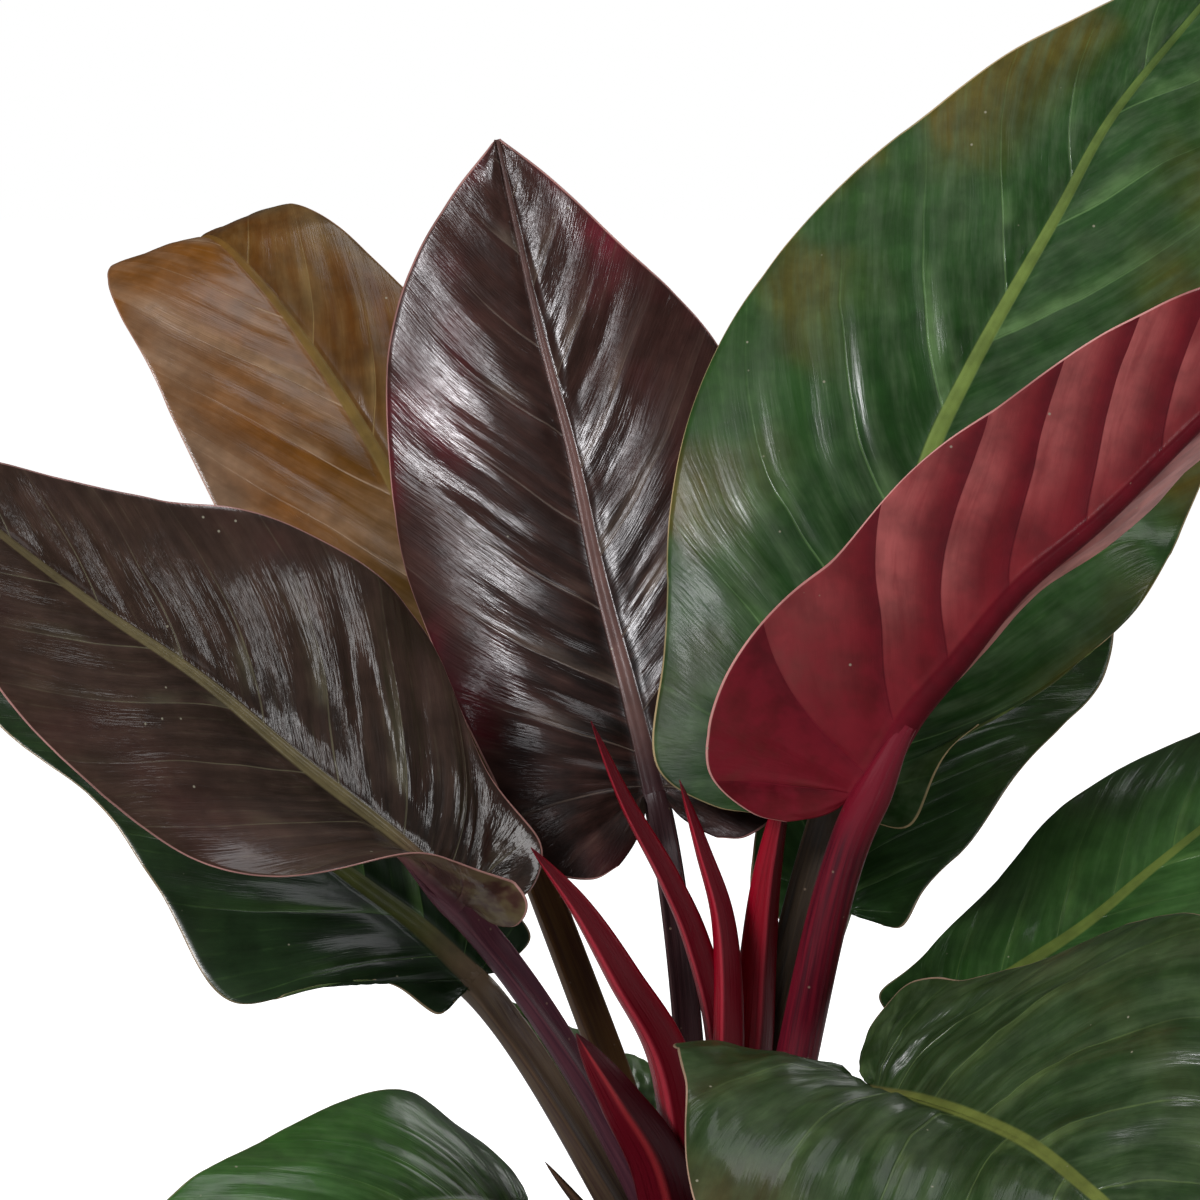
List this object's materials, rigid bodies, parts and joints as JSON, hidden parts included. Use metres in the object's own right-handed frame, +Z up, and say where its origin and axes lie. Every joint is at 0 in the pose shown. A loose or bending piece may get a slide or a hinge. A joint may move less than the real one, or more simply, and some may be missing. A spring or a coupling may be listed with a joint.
{
  "type": "potted imperial red philodendron",
  "caption": "Leafy philodendron in a plain round pot: glossy green, bronze and red blades on long grooved stalks, pointed red sheaths, a short stem and soil.",
  "frame": {"origin": "middle of the pot's flat underside, on the surface it stands on", "axes": "+Z up, +X to the right and -Y towards the viewer of the picture's side"},
  "size_m": [0.5136, 0.4855, 0.651],
  "materials": {
    "leaf_dark": "dark maroon brown, glossy, waxy, with a raised midrib and fine side veins",
    "leaf_olive": "olive brown, glossy, waxy, with a raised midrib and fine side veins",
    "leaf_green": "deep green, glossy, waxy, with a raised midrib and fine side veins",
    "leaf_forest": "forest green, glossy, waxy, with a raised midrib and fine side veins",
    "leaf_moss": "mossy green, glossy, waxy, with a raised midrib and fine side veins",
    "leaf_red": "wine red, glossy, waxy, with a raised midrib and fine side veins",
    "stalk": "purple brown, satin, grooved",
    "sheath": "crimson, satin, keeled",
    "sheath_dry": "dry brown, matt",
    "stem": "green brown, matt, ringed by scars",
    "soil": "dark, crumbly, matt",
    "pot": "dark grey, moulded, satin"
  },
  "bodies": {
    "root": {"leaf_01_blade": "leaf_dark", "leaf_01_stalk": "stalk", "leaf_02_blade": "leaf_olive", "leaf_02_stalk": "stalk", "leaf_03_blade": "leaf_dark", "leaf_03_stalk": "stalk", "leaf_04_blade": "leaf_green", "leaf_04_stalk": "stalk", "leaf_05_blade": "leaf_green", "leaf_05_stalk": "stalk", "leaf_06_blade": "leaf_forest", "leaf_06_stalk": "stalk", "leaf_07_blade": "leaf_green", "leaf_07_stalk": "stalk", "leaf_08_blade": "leaf_red", "leaf_08_stalk": "stalk", "leaf_09_blade": "leaf_green", "leaf_09_stalk": "stalk", "leaf_10_blade": "leaf_moss", "leaf_10_stalk": "stalk", "leaf_11_blade": "leaf_moss", "leaf_11_stalk": "stalk", "leaf_12_blade": "leaf_green", "leaf_12_stalk": "stalk", "leaf_13_blade": "leaf_green", "leaf_13_stalk": "stalk", "sheath_1": "sheath", "sheath_2": "sheath", "sheath_3": "sheath", "sheath_4": "sheath", "sheath_5": "sheath", "sheath_6": "sheath_dry", "stem": "stem", "soil": "soil", "pot": "pot"}
  },
  "joints": []
}
